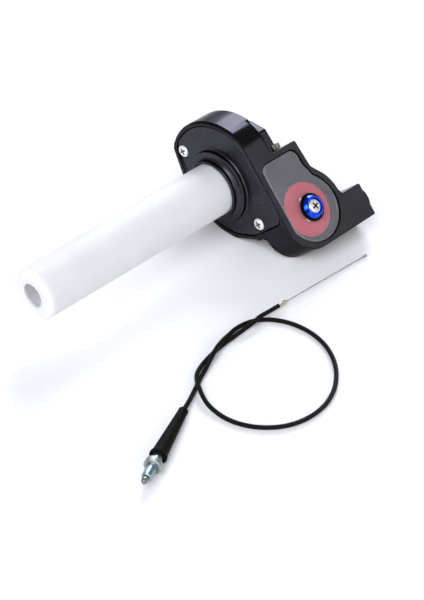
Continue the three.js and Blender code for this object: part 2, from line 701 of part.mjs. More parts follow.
// ---- Loose cable, lying on the ground in front of the grip -------------------------------------
// The sheath runs from the boot round one loop, twists about itself and ends at the ferrule.
// Each point is [x, y, height of the centre above the ground].
const SHEATH_ROUTE = [
  [-110.1, -83.5, 2.65], [-104.4, -81, 2.4], [-99.2, -78.4, 1.6], [-93.4, -75.4, 1.05], [-87, -72.3, 1.1],
  [-81, -69.8, 1.6], [-75, -67.4, 2.8], [-69, -65, 3.5], [-63, -62.9, 2.8], [-57.5, -61.2, 1.5],
  [-49.5, -60, 1.05], [-41.5, -61.5, 1.05], [-35, -66, 1.05], [-30.5, -72.7, 1.05],
  [-28.2, -80.8, 1.05], [-28.2, -89.5, 1.05],
  [-30.5, -98, 1.05], [-35.4, -106.5, 1.05], [-42.3, -113.7, 1.05], [-51.2, -119.5, 1.05],
  [-61.5, -122.8, 1.05], [-72.3, -122.9, 1.05], [-82, -120, 1.05], [-90.2, -114, 1.05], [-95.8, -106, 1.05],
  [-98.4, -96.8, 1.15], [-98, -87, 2], [-94.6, -78.8, 3.4], [-89.2, -71.8, 2.8], [-82, -67.4, 1.3],
  [-72.2, -64.8, 1.05], [-61.5, -63.5, 1.1], [-55.2, -63.6, 1.6], [-49, -64, 2.5], [-43.5, -64.2, 3.3],
  [-38.6, -63.6, 3.4],
];
const WIRE_END = [34.4, -65.7, 0.85];
const BOOT_START = [-109, -83, 2.6];
const BOOT_END = [-139.2, -96.9, 4.15];

const onGround = ([x, y, height]) => new THREE.Vector3(x, y, height + FLOOR);
const wireStart = onGround(SHEATH_ROUTE.at(-1));
const wireDirection = onGround(WIRE_END).sub(wireStart).normalize();
const wireLength = wireStart.distanceTo(onGround(WIRE_END));
const wirePoint = (distance) => wireStart.clone().addScaledVector(wireDirection, distance);
const bootStart = onGround(BOOT_START);
const bootDirection = onGround(BOOT_END).sub(bootStart).normalize();

// Turns a piece made along +x into place along a line.
function alongLine(body, start, direction) {
  const turn = new THREE.Quaternion().setFromUnitVectors(new THREE.Vector3(1, 0, 0), direction);
  const matrix = new THREE.Matrix4().compose(start, turn, new THREE.Vector3(1, 1, 1));
  return body.transform(matrix.elements);
}

const fromBoot = (body) => alongLine(body, bootStart, bootDirection);
const fromWire = (body) => alongLine(body, wireStart, wireDirection);

function sheath() {
  const points = [...SHEATH_ROUTE.map(onGround), wirePoint(5), wirePoint(10), wirePoint(SHEATH_END_AT)];
  const path = new THREE.CatmullRomCurve3(points, false, "centripetal");
  const octagon = arcCorners(0, 0, SHEATH_R, 0, 315, 7).map((uv) => new THREE.Vector2(...uv));
  const section = new THREE.Shape(octagon);
  const tube = new THREE.ExtrudeGeometry(section, { steps: 72, extrudePath: path, bevelEnabled: false });
  const wireBore = fromWire(rodX(WIRE_BORE_R, SHEATH_END_AT - PULL_TRAVEL, SHEATH_END_AT + 2, 0, 0, 10));
  return cut(solid(tube), wireBore);
}

function boot() {
  const end = BOOT_LENGTH;
  const sheathHoleR = 1.35;
  const boreStart = end * 0.66;
  return fromBoot(turnedX([
    [0, sheathHoleR],
    [0, 2.05],
    [0.6, 2.25],
    [end * 0.5, 2.95],
    [end * 0.92, 3.55],
    [end - 1.4, 4],
    [end - 0.6, 4.1],
    [end, 3.8],
    [end, BOOT_BORE_R],
    [boreStart, BOOT_BORE_R],
    [boreStart, sheathHoleR],
  ], 20));
}

// The adjuster's neck starts inside the boot and its nose tapers towards the ball.
function adjuster() {
  const wireHoleR = 0.7;
  return fromBoot(turnedX([
    [22.5, wireHoleR],
    [22.5, 2.35],
    [36.7, 2.35],
    [36.7, 2.5],
    [40.6, 2.5],
    [46.4, 2.2],
    [47.1, 2.25],
    [47.4, 1.9],
    [47.4, wireHoleR],
  ], 20));
}

function locknut() {
  return fromBoot(turnedX([
    [36.8, 2.75],
    [36.8, 3.55],
    [37.3, 4],
    [39.7, 4],
    [40.2, 3.55],
    [40.2, 2.75],
  ], 24));
}

function ballEnd() {
  const stemAt = 48;
  const ball = turnedX([
    [47.6, AXIS_R],
    [47.6, 1.2],
    [47.9, 1.5],
    [49.6, 1.5],
    [50.4, 1.2],
    [50.9, 0.6],
    [51, AXIS_R],
  ], 24);
  return fromBoot(join(ball, rodX(WIRE_R + 0.1, stemAt - PULL_TRAVEL - 4, stemAt, 0, 0, 10)));
}

function ferrule() {
  const start = SHEATH_END_AT + 0.15;
  const end = start + FERRULE_LENGTH;
  return fromWire(turnedX([
    [start, WIRE_BORE_R],
    [start, 1.1],
    [start + 1.8, 1.1],
    [start + 2, 0.9],
    [start + 3, 0.9],
    [start + 3.2, 1],
    [end - 0.3, 1],
    [end, 0.8],
    [end, WIRE_BORE_R],
  ], 20));
}

function innerWire() {
  return fromWire(rodX(WIRE_R, SHEATH_END_AT + 0.5, wireLength - 1.1, 0, 0, 10));
}

function wireNipple() {
  const start = wireLength - 0.9;
  return fromWire(turnedX([
    [start, AXIS_R],
    [start, 0.45],
    [start + 0.3, 0.7],
    [start + 1.7, 0.7],
    [start + 2, 0.45],
    [start + 2, AXIS_R],
  ], 18));
}

place("cable_sheath", sheath(), sheathing, throttle);
place("sheath_ferrule", ferrule(), nickel, throttle);
place("inner_wire", innerWire(), wireSteel, throttle);
place("wire_nipple", wireNipple(), wireSteel, throttle);
place("cable_boot", boot(), rubber, throttle);
place("cable_adjuster", adjuster(), zinc, throttle);
place("adjuster_locknut", locknut(), steel, throttle);
place("ball_end", ballEnd(), steel, throttle);

export default throttle;
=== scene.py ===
import math

import bmesh
import bpy
from mathutils import Matrix, Quaternion, Vector


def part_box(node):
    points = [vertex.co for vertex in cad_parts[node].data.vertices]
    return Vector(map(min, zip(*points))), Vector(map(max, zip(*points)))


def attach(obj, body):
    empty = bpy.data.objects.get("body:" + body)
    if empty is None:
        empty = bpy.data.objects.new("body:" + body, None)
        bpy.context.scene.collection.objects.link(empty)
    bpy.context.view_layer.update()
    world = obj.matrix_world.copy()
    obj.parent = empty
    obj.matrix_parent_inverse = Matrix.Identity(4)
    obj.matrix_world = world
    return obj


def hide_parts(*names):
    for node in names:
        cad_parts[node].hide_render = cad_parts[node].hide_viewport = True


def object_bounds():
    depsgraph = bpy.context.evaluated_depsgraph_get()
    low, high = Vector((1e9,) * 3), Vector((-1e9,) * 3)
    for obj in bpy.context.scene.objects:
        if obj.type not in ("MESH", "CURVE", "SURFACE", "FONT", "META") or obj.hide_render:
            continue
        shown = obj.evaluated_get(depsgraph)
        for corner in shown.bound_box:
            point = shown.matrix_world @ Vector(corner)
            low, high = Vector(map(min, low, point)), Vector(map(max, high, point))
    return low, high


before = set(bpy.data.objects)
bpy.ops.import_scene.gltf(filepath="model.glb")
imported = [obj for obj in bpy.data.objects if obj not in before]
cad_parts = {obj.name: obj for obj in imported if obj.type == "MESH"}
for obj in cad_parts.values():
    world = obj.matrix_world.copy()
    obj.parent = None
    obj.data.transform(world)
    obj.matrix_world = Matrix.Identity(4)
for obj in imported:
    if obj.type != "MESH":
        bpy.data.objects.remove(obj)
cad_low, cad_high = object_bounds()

# Looks of a twist throttle with a windowed cable housing and a loose cable. Shapes are made in
# millimetres, in the housing's leaning frame (x along the bar, y up the window face, z out of it) or,
# for the cable, in the row frame, and are turned into metres in the row frame at the end.

MM = 0.001
LEAN = math.radians(45)
LEANING = Matrix.Rotation(LEAN, 4, "X")
FLOOR_Z = -25.0
# GAP is the clearance round screws, cover and window. OVERSHOOT is how far a cutter passes a face.
GAP = 0.3
OVERSHOOT = 1.0

TUBE_FREE_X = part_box("throttle_tube")[0].x / MM
TUBE_INNER_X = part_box("throttle_tube")[1].x / MM
TUBE_R_FREE = 12.7
TUBE_R_ROOT = 13.2
TUBE_BORE_R = 11.3
TUBE_HOLE_R = 5.8

DRUM_R = 33.0
DRUM_DEPTH = 15.0
DRUM_LOW_Y = -32.8
DRUM_BLEND_DEG = 50
DRUM_BLEND_R = 20.0
FACE_Z = 30.0
ARM_BACK_Z = 12.0
COVER_INSET = 0.3
COVER_THICK = 2.4
COVER_RIM = 2.6
COVER_FLAT_Z = 28.3
COVER_LOW_Y = -29.3
COLLAR_PROUD = 5.6
COLLAR_TIP_R = 14.9
COLLAR_BASE_R = 17.6
COLLAR_FOOT_R = 18.2
COLLAR_FOOT_X = -2.0
COLLAR_BORE_R = 13.7
COVER_SCREWS = {"upper": (22.6, -12.7), "lower": (-25.1, 11.9)}
COVER_SCREW_R = 3.1
COVER_SCREW_HEAD_H = 1.2
COVER_SCREW_SHANK_R = 1.4
COVER_SCREW_LENGTH = 7.5
COVER_SCREW_SEAT = 1.0
COVER_SCREW_HOLE_R = 1.9
CASTING_SCREW_HOLE_R = 1.7
COVER_CORNER_R = 4.6
COVER_LOW_BEND_R = 18.0

PULLEY_X = 19.3
PULLEY_Y = -29.9
PULLEY_R = 13.6
PULLEY_BORE_R = 4.3
PULLEY_Z0 = 15.9
PULLEY_Z1 = 26.6
CABLE_Z = 18.6
ROOM_FLOOR_Z = 14.6
WINDOW_R = 16.7
LENS_TOP_Z = 29.8
LENS_THICK = 1.8
WINDOW_TOP_Y = -1.4
WINDOW_LEFT_X = 3.7
WINDOW_RIGHT_X = 27.4
WINDOW_SEAT_DEPTH = 2.5
WINDOW_LEDGE = 1.7
WASHER_Z0 = 29.9
WASHER_Z1 = 30.15
WASHER_BORE_R = 2.6
PULLEY_SCREW_R = 3.4
PULLEY_SCREW_HEAD_H = 1.4
PULLEY_SCREW_LENGTH = 24.4
PULLEY_SCREW_SEAT_Z = 31.9
PULLEY_SCREW_TURN = math.radians(20)

ARM_END_X = 52.8
ARM_TOP_Y = -32.0
ARM_BOTTOM_Y = -49.0
ARM_CORNER_R = 15.5
BOSS_R = 7.5
BOSS_Y = -40.0
BOSS_Z = 21.0
BOSS_TIP_X = 55.2
OUTLET_Y = -41.2
OUTLET_R = 3.0
OUTLET_MOUTH_R = 3.4
OUTLET_MOUTH_LENGTH = 9.0
FILLET_X = 0.3
FILLET_Y = -32.5
FILLET_R = 4.0
SPOOL_ROOM_R = 20.2
SPOOL_ROOM_X = (1.0, 13.0)
POST_R = 4.4
NUT_ROOM_R = 6.0
NUT_ROOM_DEPTH = 3.0
SHANK_R = 2.3
BAR_R = 11.3
CLAMP_X1 = 31.0
CLAMP_BOLT_X = 23.0
CLAMP_BOLT_Y = 15.6
CLAMP_BOLT_HOLE_R = 2.5
CLAMP_BOLT_HOLE_Z = 7.0

SHEATH_R = 1.05
WIRE_R = 0.3
SHEATH_END_AT = 12.6
SHEATH_BORE_LENGTH = 12.4
SHEATH_RIB_PITCH = 0.5
WIRE_BORE_R = WIRE_R + 0.2
WIRE_LAY = 5.0
WIRE_STEP = 0.4
FERRULE_LENGTH = 5.3
BOOT_LENGTH = 33.2
BOOT_BORE_R = 2.6
BOOT_SHEATH_HOLE_R = 1.35
BOOT_RINGS = 46
ADJUSTER_START = 22.5
ADJUSTER_END = 47.4
ADJUSTER_BORE_R = 0.7
LOCKNUT_SPAN = (36.8, 40.2)
LOCKNUT_BORE_R = 2.75

CAMERA_AT = Vector((-583.6, -517.1, 569.1))
COOL = (0.91, 0.925, 1.0)

# The floor's half width and its drop below the object are in metres.
FLOOR_HALF = 6.0
FLOOR_DROP = 0.0002


# ---- Camera and light ----------------------------------------------------------------------------
def aim(azimuth, elevation, roll=0.0):
    """The rotation of a camera or light that looks along an azimuth (0 is +Y) and down by an elevation."""
    a, e = math.radians(azimuth), math.radians(elevation)
    back = Vector((math.sin(a) * math.cos(e), -math.cos(a) * math.cos(e), math.sin(e)))
    return (-back).to_track_quat("-Z", "Y") @ Quaternion((0, 0, 1), math.radians(roll)), back


def make_camera():
    data = bpy.data.cameras.new("camera")
    data.lens = 120
    data.sensor_width = 36
    data.clip_start = 0.01
    data.clip_end = 20
    camera = bpy.data.objects.new("camera", data)
    rotation, _ = aim(azimuth=-48.42, elevation=39.41, roll=3.13)
    camera.rotation_mode = "QUATERNION"
    camera.rotation_quaternion = rotation
    camera.location = CAMERA_AT * MM
    bpy.context.scene.collection.objects.link(camera)
    bpy.context.scene.camera = camera


def softbox(name, azimuth, elevation, distance, width, height, watts, colour=(1, 1, 1)):
    """A rectangular lamp that shines at the housing from where that azimuth and elevation look from."""
    data = bpy.data.lights.new(name, "AREA")
    data.shape = "RECTANGLE"
    data.size = width
    data.size_y = height
    data.energy = watts
    data.color = colour
    lamp = bpy.data.objects.new(name, data)
    rotation, back = aim(azimuth, elevation)
    lamp.rotation_mode = "QUATERNION"
    lamp.rotation_quaternion = rotation
    lamp.location = back * distance
    bpy.context.scene.collection.objects.link(lamp)


def make_studio():
    """Two softboxes behind the housing, one above the camera, and weak ones for front, end and window."""
    world = bpy.data.worlds.new("studio")
    world.use_nodes = True
    background = world.node_tree.nodes["Background"]
    background.inputs["Color"].default_value = (0.93, 0.95, 1.0, 1)
    background.inputs["Strength"].default_value = 0.24
    bpy.context.scene.world = world
    bpy.context.scene.view_settings.view_transform = "Standard"
    softbox(
        "backlight", azimuth=128, elevation=28, distance=1.6,
        width=0.6, height=1.25, watts=26, colour=COOL,
    )
    softbox("key", azimuth=-66, elevation=46, distance=1.5, width=1.1, height=0.9, watts=16.5, colour=COOL)
    softbox(
        "low_backlight", azimuth=142, elevation=14, distance=1.6,
        width=0.6, height=0.6, watts=3, colour=COOL,
    )
    softbox("end_light", azimuth=-88, elevation=12, distance=1.6, width=0.8, height=0.6, watts=4)
    softbox("fill", azimuth=-8, elevation=24, distance=1.8, width=1.2, height=0.7, watts=9)
    softbox("window_light", azimuth=46, elevation=32, distance=1.7, width=0.7, height=0.6, watts=1.5)


make_camera()
make_studio()


# ---- Outlines and solids -------------------------------------------------------------------------
def rounded(corners, degrees_a_step=7.5):
    """A closed outline from corners (u, v) or (u, v, radius), each with a radius turned into an arc."""
    points = []
    count = len(corners)
    for i, corner in enumerate(corners):
        here = Vector(corner[:2])
        radius = corner[2] if len(corner) > 2 else 0
        if radius <= 0:
            points.append(here)
            continue
        before = (Vector(corners[i - 1][:2]) - here).normalized()
        after = (Vector(corners[(i + 1) % count][:2]) - here).normalized()
        half = before.angle(after) / 2
        middle = here + (before + after).normalized() * (radius / math.sin(half))
        enter = here + before * (radius / math.tan(half)) - middle
        leave = here + after * (radius / math.tan(half)) - middle
        turn = enter.angle_signed(leave)
        steps = max(2, math.ceil(math.degrees(abs(turn)) / degrees_a_step))
        for k in range(steps + 1):
            points.append(middle + Matrix.Rotation(-turn * k / steps, 2) @ enter)
    return points


def arc(u, v, radius, from_deg, to_deg, steps):
    """Points of an arc, for outlines that follow a circle."""
    angles = [math.radians(from_deg + (to_deg - from_deg) * i / steps) for i in range(steps + 1)]
    return [(u + radius * math.cos(a), v + radius * math.sin(a)) for a in angles]


def shrink(corners, inset):
    """Moves every side of an outline inwards by the same amount."""
    moved = []
    count = len(corners)
    for i, corner in enumerate(corners):
        here = Vector(corner[:2])
        before = Vector(corners[i - 1][:2])
        after = Vector(corners[(i + 1) % count][:2])
        into = Vector((before.y - here.y, here.x - before.x)).normalized()
        out = Vector((here.y - after.y, after.x - here.x)).normalized()
        move = (into + out) * (inset / (1 + into.dot(out)))
        radius = corner[2] if len(corner) > 2 else 0
        moved.append((here.x + move.x, here.y + move.y, max(radius - inset, 0)))
    return moved


def object_from(name, points, faces):
    mesh = bpy.data.meshes.new(name)
    mesh.from_pydata([tuple(p) for p in points], [], faces)
    tidy = bmesh.new()
    tidy.from_mesh(mesh)
    bmesh.ops.recalc_face_normals(tidy, faces=tidy.faces)
    tidy.to_mesh(mesh)
    tidy.free()
    made = bpy.data.objects.new(name, mesh)
    bpy.context.scene.collection.objects.link(made)
    return made


def prism(outline, low, high, along):
    """An outline drawn out from low to high. along "z" reads it as (x, y), and "x" as (y, z)."""
    count = len(outline)
    place = {"z": lambda p, w: (p[0], p[1], w), "x": lambda p, w: (w, p[0], p[1])}[along]
    points = [place(p, low) for p in outline] + [place(p, high) for p in outline]
    sides = [(i, (i + 1) % count, count + (i + 1) % count, count + i) for i in range(count)]
    caps = [tuple(range(count)), tuple(range(count, 2 * count))]
    return object_from("prism", points, sides + caps)


# A radius below this is on the axis of a lathe.
AXIS = 1e-6


def lathe(profile, sides=96, turn=None):
    """A closed profile of (along, radius[, rounding]) turned about +x, then moved by turn.
    A point with radius 0 is a single point on the axis."""
    points, rings = [], []
    for along, radius in rounded(profile, 15):
        if radius < AXIS:
            rings.append([len(points)])
            points.append((along, 0, 0))
            continue
        rings.append(range(len(points), len(points) + sides))
        for i in range(sides):
            angle = 2 * math.pi * i / sides
            points.append((along, radius * math.cos(angle), radius * math.sin(angle)))
    faces = []
    for near, far in zip(rings, rings[1:] + rings[:1]):
        if len(near) == 1 and len(far) == 1:
            continue
        for i in range(sides):
            k = (i + 1) % sides
            quad = [near[i % len(near)], near[k % len(near)], far[k % len(far)], far[i % len(far)]]
            faces.append(tuple(dict.fromkeys(quad)))
    made = object_from("lathe", points, faces)
    if turn is not None:
        made.data.transform(turn)
    return made


# TO_Z stands a shape made along +x up along +z, and STACK puts it on the pulley's axis.
TO_Z = Matrix.Rotation(-math.pi / 2, 4, "Y")
STACK = Matrix.Translation((PULLEY_X, PULLEY_Y, 0)) @ TO_Z


def rod_x(radius, low, high, y=0.0, z=0.0, sides=64):
    return lathe([(low, 0), (low, radius), (high, radius), (high, 0)], sides, Matrix.Translation((0, y, z)))


def rod_z(radius, low, high, x=0.0, y=0.0, sides=48):
    turn = Matrix.Translation((x, y, 0)) @ TO_Z
    return lathe([(low, 0), (low, radius), (high, radius), (high, 0)], sides, turn)


def box(x0, x1, y0, y1, z0, z1):
    return prism([(x0, y0), (x1, y0), (x1, y1), (x0, y1)], z0, z1, "z")


def evaluated(obj):
    """Applies an object's modifiers."""
    depsgraph = bpy.context.evaluated_depsgraph_get()
    mesh = bpy.data.meshes.new_from_object(obj.evaluated_get(depsgraph))
    obj.modifiers.clear()
    obj.data = mesh
    return obj


def combine(body, tools, operation):
    """Joins tools to a body, or cuts them from it, one after another."""
    for tool in tools:
        step = body.modifiers.new(operation, "BOOLEAN")
        step.operation = operation
        step.solver = "EXACT"
        step.object = tool
    evaluated(body)
    for tool in tools:
        bpy.data.objects.remove(tool)
    return body


def join(body, *tools):
    return combine(body, tools, "UNION")


def cut(body, *tools):
    return combine(body, tools, "DIFFERENCE")


WELD_MM = 0.03
FLAT_ANGLE = math.radians(0.4)
SHARP_ANGLE = math.radians(38)


def soften(body, width, segments=2, angle=32):
    """Rounds the edges of a piece, after joining the flat faces that cutting has split."""
    mesh = bmesh.new()
    mesh.from_mesh(body.data)
    bmesh.ops.remove_doubles(mesh, verts=mesh.verts, dist=WELD_MM)
    bmesh.ops.dissolve_limit(mesh, angle_limit=FLAT_ANGLE, verts=mesh.verts, edges=mesh.edges)
    mesh.to_mesh(body.data)
    mesh.free()
    bevel = body.modifiers.new("bevel", "BEVEL")
    bevel.width = width
    bevel.segments = segments
    bevel.limit_method = "ANGLE"
    bevel.angle_limit = math.radians(angle)
    bevel.use_clamp_overlap = False
    evaluated(body)
    body.data.shade_smooth()
    body.data.set_sharp_from_angle(angle=SHARP_ANGLE)
    weighted = body.modifiers.new("weighted", "WEIGHTED_NORMAL")
    weighted.keep_sharp = True
    return evaluated(body)


def piece(made, name, node, body, material, place=LEANING, sharp=40):
    """Puts a finished shape in the row frame, in metres, in the place of its CAD node."""
    made.name = name
    made.data.name = name
    made.data.transform(Matrix.Scale(MM, 4) @ place)
    if sharp is not None:
        made.data.shade_smooth()
        made.data.set_sharp_from_angle(angle=math.radians(sharp))
    if not made.data.materials:
        made.data.materials.append(material)
    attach(made, body)
    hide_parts(node)
    return made


# ---- Materials -----------------------------------------------------------------------------------
# Most values of a noise lie between these two.
NOISE_LOW = 0.3
NOISE_HIGH = 0.7
NOISE_ROUGHNESS = 0.55


class Finish:
    """A node material round one Principled shader, with its sockets set by name."""

    def __init__(self, name, colour, roughness, metallic=0.0, **sockets):
        self.material = bpy.data.materials.new(name)
        self.material.use_nodes = True
        self.tree = self.material.node_tree
        self.shader = self.tree.nodes["Principled BSDF"]
        self.shader.inputs["Base Color"].default_value = (*colour, 1)
        self.shader.inputs["Roughness"].default_value = roughness
        self.shader.inputs["Metallic"].default_value = metallic
        for socket, value in sockets.items():
            self.shader.inputs[socket.replace("_", " ")].default_value = value
        self.place = self.node("ShaderNodeTexCoord").outputs["Object"]
        self.bump = None

    def node(self, kind, **values):
        made = self.tree.nodes.new(kind)
        for key, value in values.items():
            setattr(made, key, value)
        return made

    def link(self, source, target):
        self.tree.links.new(source, target)

    def noise(self, size_mm, detail=4.0, stretch=(1, 1, 1)):
        """Noise with features of about that size, stretched along the row frame's axes."""
        mapping = self.node("ShaderNodeMapping")
        mapping.inputs["Scale"].default_value = tuple(1 / s for s in stretch)
        self.link(self.place, mapping.inputs["Vector"])
        noise = self.node("ShaderNodeTexNoise")
        noise.inputs["Scale"].default_value = 1 / (size_mm * MM)
        noise.inputs["Detail"].default_value = detail
        noise.inputs["Roughness"].default_value = NOISE_ROUGHNESS
        self.link(mapping.outputs["Vector"], noise.inputs["Vector"])
        return noise.outputs["Fac"]

    def spread(self, source, low, high):
        """Maps the middle of a noise to a range of numbers."""
        ranged = self.node("ShaderNodeMapRange")
        ranged.inputs["From Min"].default_value = NOISE_LOW
        ranged.inputs["From Max"].default_value = NOISE_HIGH
        ranged.inputs["To Min"].default_value = low
        ranged.inputs["To Max"].default_value = high
        self.link(source, ranged.inputs["Value"])
        return ranged.outputs["Result"]

    def mottled(self, source, first, second):
        """The base colour wanders between two colours."""
        mix = self.node("ShaderNodeMix", data_type="RGBA")
        colour_a, colour_b = [s for s in mix.inputs if s.type == "RGBA"]
        colour_a.default_value = (*first, 1)
        colour_b.default_value = (*second, 1)
        self.link(self.spread(source, 0, 1), mix.inputs["Factor"])
        result = next(s for s in mix.outputs if s.type == "RGBA")
        self.link(result, self.shader.inputs["Base Color"])
        return self

    def uneven(self, source, low, high):
        """The roughness wanders between two values."""
        self.link(self.spread(source, low, high), self.shader.inputs["Roughness"])
        return self

    def bumped(self, source, depth_mm):
        """Adds relief of that depth."""
        bump = self.node("ShaderNodeBump")
        bump.inputs["Strength"].default_value = 1.0
        bump.inputs["Distance"].default_value = depth_mm * MM
        self.link(source, bump.inputs["Height"])
        if self.bump is not None:
            self.link(self.bump, bump.inputs["Normal"])
        self.bump = bump.outputs["Normal"]
        self.link(self.bump, self.shader.inputs["Normal"])
        return self


def nylon():
    look = Finish(
        "nylon", (0.8, 0.79, 0.82), 0.42,
        Specular_IOR_Level=0.3, Subsurface_Weight=0.7, Subsurface_Scale=0.007,
    )
    look.shader.inputs["Subsurface Radius"].default_value = (1.0, 0.9, 0.95)
    look.mottled(look.noise(30, 2), (0.78, 0.765, 0.8), (0.83, 0.815, 0.845))
    look.uneven(look.noise(9, 3, (4, 1, 1)), 0.45, 0.6)
    look.bumped(look.noise(0.9, 3), 0.012)
    look.bumped(look.noise(6, 2, (6, 1, 1)), 0.03)
    return look.material


def satin_black(name, dark, light, low, high):
    """Satin black on cast alloy. Its specular tint is halved, so that slanted faces stay dark."""
    look = Finish(name, light, (low + high) / 2, 1.0, Specular_Tint=(0.5, 0.5, 0.5, 1))
    look.mottled(look.noise(14, 3), dark, light)
    look.uneven(look.noise(5, 4), low, high)
    look.bumped(look.noise(9, 2, (12, 1, 1)), 0.02)
    look.bumped(look.noise(0.35, 3), 0.01)
    return look.material


# The window's grey, partly opaque colour is a painted reflection over the dark room behind it.
def acrylic_painted_reflection():
    look = Finish("acrylic_painted_reflection", (0.42, 0.41, 0.45), 0.06, Alpha=0.18)
    look.uneven(look.noise(8, 3), 0.04, 0.12)
    look.mottled(look.noise(12, 2), (0.38, 0.37, 0.41), (0.46, 0.45, 0.49))
    return look.material


def acrylic_edge_painted_highlight():
    """The bevel and rim, lighter and more opaque: a painted highlight along the window's edge."""
    look = Finish("acrylic_edge_painted_highlight", (0.3, 0.3, 0.34), 0.12, Alpha=0.62)
    look.mottled(look.noise(2, 3), (0.22, 0.22, 0.26), (0.4, 0.4, 0.44))
    return look.material


def turned_metal(name, first, second, low, high, groove=0.01, metallic=1.0):
    """Metal with the fine marks of a lathe and slightly uneven plating."""
    look = Finish(name, first, (low + high) / 2, metallic)
    look.mottled(look.noise(2.5, 3), first, second)
    look.uneven(look.noise(1.2, 4), low, high)
    look.bumped(look.noise(0.25, 3), groove)
    return look.material


def rubber():
    look = Finish("rubber", (0.005, 0.005, 0.004), 0.6, Specular_IOR_Level=0.06)
    look.mottled(look.noise(4, 4), (0.0025, 0.0025, 0.002), (0.006, 0.006, 0.0045))
    look.uneven(look.noise(2, 4), 0.5, 0.75)
    look.bumped(look.noise(0.3, 4), 0.03)
    return look.material


def sheathing():
    """Black plastic over a wound steel liner, whose turns show as faint ribs."""
    look = Finish("sheathing", (0.004, 0.004, 0.0035), 0.32, Specular_IOR_Level=0.1)
    look.mottled(look.noise(3, 4), (0.002, 0.002, 0.0018), (0.005, 0.005, 0.0045))
    look.uneven(look.noise(1.5, 4), 0.32, 0.5)
    ribs = look.node("ShaderNodeTexWave", wave_type="BANDS", bands_direction="X")
    ribs.inputs["Scale"].default_value = 1.0
    look.link(look.node("ShaderNodeTexCoord").outputs["UV"], ribs.inputs["Vector"])
    look.bumped(ribs.outputs["Fac"], 0.03)
    return look.material


def plastic(name, first, second):
    look = Finish(name, first, 0.5)
    look.mottled(look.noise(5, 3), first, second)
    look.uneven(look.noise(2, 3), 0.42, 0.58)
    look.bumped(look.noise(0.5, 3), 0.01)
    return look.material


NYLON = nylon()
BLACK = satin_black("black_alloy", (0.028, 0.028, 0.033), (0.036, 0.036, 0.043), 0.14, 0.2)
# The cover's black is the body's satin black with a lighter base colour: painted light for the brighter
# reflection on its face.
COVER_BLACK_PAINTED_LIGHTER = satin_black("black_cover_painted_lighter", (0.048, 0.048, 0.057), (0.06, 0.06, 0.071), 0.25, 0.33)
ACRYLIC_PAINTED_REFLECTION = acrylic_painted_reflection()
ACRYLIC_EDGE_PAINTED_HIGHLIGHT = acrylic_edge_painted_highlight()
RED = turned_metal("red_alloy", (0.84, 0.03, 0.065), (0.74, 0.025, 0.05), 0.5, 0.62, 0.01, 0.1)
# A darker red for painted shade on the pulley's sides and groove, below its top face.
RED_PAINTED_SHADE = turned_metal("red_alloy_painted_shade", (0.05, 0.008, 0.01), (0.03, 0.006, 0.008), 0.5, 0.65, 0.01, 0.5)
BLUE = turned_metal("blue_alloy", (0.02, 0.085, 0.8), (0.012, 0.06, 0.66), 0.1, 0.17, 0.003)
STEEL = turned_metal("bright_steel", (0.9, 0.9, 0.89), (0.8, 0.8, 0.79), 0.3, 0.42, 0.006, 0.55)
ZINC = turned_metal("zinc_blue", (0.32, 0.44, 0.51), (0.25, 0.36, 0.42), 0.3, 0.44)
PALE_ZINC = turned_metal("pale_zinc", (0.42, 0.42, 0.39), (0.3, 0.3, 0.28), 0.36, 0.5, 0.02)
DULL_STEEL = turned_metal("dull_steel", (0.3, 0.3, 0.28), (0.2, 0.2, 0.19), 0.34, 0.46, 0.01)
# A darker metal for painted shade inside the screws' cross recesses.
RECESS_PAINTED_SHADE = turned_metal("recess_painted_shade", (0.16, 0.16, 0.155), (0.26, 0.26, 0.25), 0.5, 0.7)
NICKEL = turned_metal("nickel", (0.66, 0.6, 0.48), (0.55, 0.49, 0.38), 0.22, 0.36)
RUBBER = rubber()
SHEATHING = sheathing()
WIRE_STEEL = turned_metal("wire_steel", (0.42, 0.42, 0.43), (0.32, 0.32, 0.33), 0.32, 0.45)
ACETAL = plastic("acetal", (0.72, 0.7, 0.64), (0.66, 0.64, 0.58))


def make_floor():
    half = FLOOR_HALF
    z = cad_low.z - FLOOR_DROP
    corners = [(-half, -half, z), (half, -half, z), (half, half, z), (-half, half, z)]
    mesh = bpy.data.meshes.new("floor")
    mesh.from_pydata(corners, [], [(0, 1, 2, 3)])
    floor = bpy.data.objects.new("floor", mesh)
    bpy.context.scene.collection.objects.link(floor)
    look = Finish("pale_floor", (0.9, 0.9, 0.9), 0.9, Specular_IOR_Level=0.1)
    look.mottled(look.noise(400, 2), (0.9, 0.9, 0.905), (0.93, 0.93, 0.93))
    mesh.materials.append(look.material)


make_floor()


# ---- Loose cable ---------------------------------------------------------------------------------
# Points are (x, y, height of the centre above the floor), as in the CAD.
SHEATH_ROUTE = [
    (-110.1, -83.5, 2.65), (-104.4, -81, 2.4), (-99.2, -78.4, 1.6), (-93.4, -75.4, 1.05), (-87, -72.3, 1.1),
    (-81, -69.8, 1.6), (-75, -67.4, 2.8), (-69, -65, 3.5), (-63, -62.9, 2.8), (-57.5, -61.2, 1.5),
    (-49.5, -60, 1.05), (-41.5, -61.5, 1.05), (-35, -66, 1.05), (-30.5, -72.7, 1.05),
    (-28.2, -80.8, 1.05), (-28.2, -89.5, 1.05), (-30.5, -98, 1.05), (-35.4, -106.5, 1.05),
    (-42.3, -113.7, 1.05), (-51.2, -119.5, 1.05), (-61.5, -122.8, 1.05), (-72.3, -122.9, 1.05),
    (-82, -120, 1.05), (-90.2, -114, 1.05), (-95.8, -106, 1.05), (-98.4, -96.8, 1.15), (-98, -87, 2),
    (-94.6, -78.8, 3.4), (-89.2, -71.8, 2.8), (-82, -67.4, 1.3), (-72.2, -64.8, 1.05),
    (-61.5, -63.5, 1.1), (-55.2, -63.6, 1.6), (-49, -64, 2.5), (-43.5, -64.2, 3.3), (-38.6, -63.6, 3.4),
]
WIRE_END = (34.4, -65.7, 0.85)
